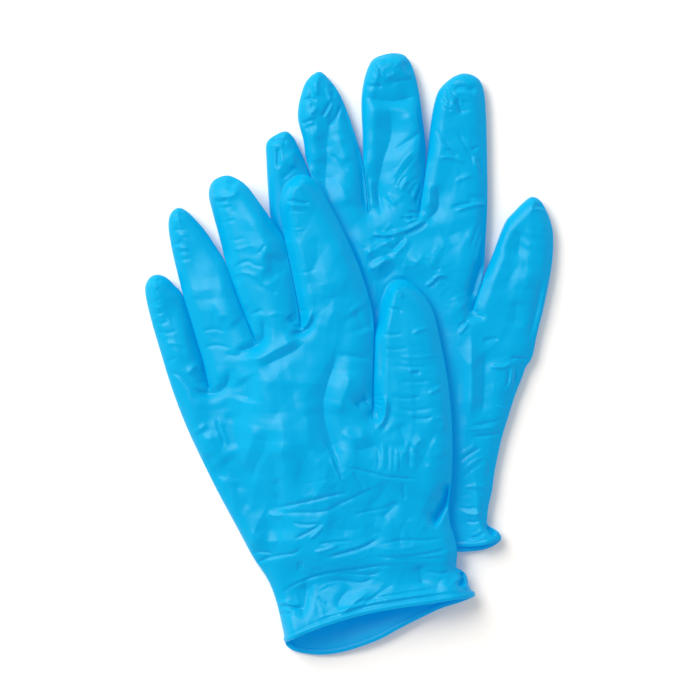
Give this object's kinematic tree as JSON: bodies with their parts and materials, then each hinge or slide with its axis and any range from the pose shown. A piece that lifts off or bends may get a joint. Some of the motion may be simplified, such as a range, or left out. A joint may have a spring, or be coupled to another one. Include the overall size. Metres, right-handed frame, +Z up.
{
  "type": "pair of disposable gloves",
  "caption": "Pair of thin disposable hand gloves lying flat, one across the other, with rolled cuffs; the fingers bend up and the upper glove lifts off.",
  "frame": {"origin": "centre of the pair's bounding box in plan, on the surface that the gloves lie on", "axes": "+X to the viewer's right of the lying pair, towards the thumbs; +Y from the cuffs towards the fingertips; +Z up, off the surface"},
  "size_m": [0.2014, 0.2965, 0.0176],
  "materials": {
    "nitrile_film": "satin",
    "rolled_edge": "satin"
  },
  "bodies": {
    "back_glove": {"back_hand_film": "nitrile_film", "back_rolled_bead": "rolled_edge"},
    "front_glove": {"front_hand_film": "nitrile_film", "front_rolled_bead": "rolled_edge"},
    "back_ring_finger": {"back_ring_finger": "nitrile_film"},
    "back_middle_finger": {"back_middle_finger": "nitrile_film"},
    "back_index_finger": {"back_index_finger": "nitrile_film"},
    "back_thumb": {"back_thumb": "nitrile_film"},
    "front_little_finger": {"front_little_finger": "nitrile_film"},
    "front_ring_finger": {"front_ring_finger": "nitrile_film"},
    "front_middle_finger": {"front_middle_finger": "nitrile_film"},
    "front_index_finger": {"front_index_finger": "nitrile_film"},
    "front_thumb": {"front_thumb": "nitrile_film"}
  },
  "joints": [
    {"name": "back_ring_bend", "type": "hinge", "parent": "back_glove", "child": "back_ring_finger", "pos_m": [-0.0088, 0.1037, 0.0034], "axis": [0.9798, 0.2, 0], "range_deg": [0, 75]},
    {"name": "back_middle_bend", "type": "hinge", "parent": "back_glove", "child": "back_middle_finger", "pos_m": [0.0226, 0.103, 0.0034], "axis": [0.9998, 0.02, 0], "range_deg": [0, 75]},
    {"name": "back_index_bend", "type": "hinge", "parent": "back_glove", "child": "back_index_finger", "pos_m": [0.0539, 0.103, 0.0034], "axis": [0.9988, -0.0499, 0], "range_deg": [0, 75]},
    {"name": "back_thumb_bend", "type": "hinge", "parent": "back_glove", "child": "back_thumb", "pos_m": [0.0837, 0.0381, 0.0034], "axis": [0.9652, -0.2614, 0], "range_deg": [0, 75]},
    {"name": "front_little_bend", "type": "hinge", "parent": "front_glove", "child": "front_little_finger", "pos_m": [-0.0862, 0.0101, 0.0034], "axis": [0.9627, 0.2707, 0], "range_deg": [0, 75]},
    {"name": "front_ring_bend", "type": "hinge", "parent": "front_glove", "child": "front_ring_finger", "pos_m": [-0.0693, 0.0316, 0.0034], "axis": [0.9477, 0.3192, 0], "range_deg": [0, 75]},
    {"name": "front_middle_bend", "type": "hinge", "parent": "front_glove", "child": "front_middle_finger", "pos_m": [-0.0464, 0.0513, 0.01181], "axis": [0.9573, 0.2892, 0], "range_deg": [0, 75]},
    {"name": "front_index_bend", "type": "hinge", "parent": "front_glove", "child": "front_index_finger", "pos_m": [-0.0136, 0.0485, 0.0124], "axis": [0.9684, 0.2496, 0], "range_deg": [0, 75]},
    {"name": "front_thumb_bend", "type": "hinge", "parent": "front_glove", "child": "front_thumb", "pos_m": [0.0291, 0.0038, 0.0124], "axis": [0.9927, 0.1203, 0], "range_deg": [0, 75]},
    {"name": "front_glove_lift", "type": "slide", "parent": "back_glove", "child": "front_glove", "axis": [0, 0, 1], "range_m": [0, 0.12]}
  ]
}
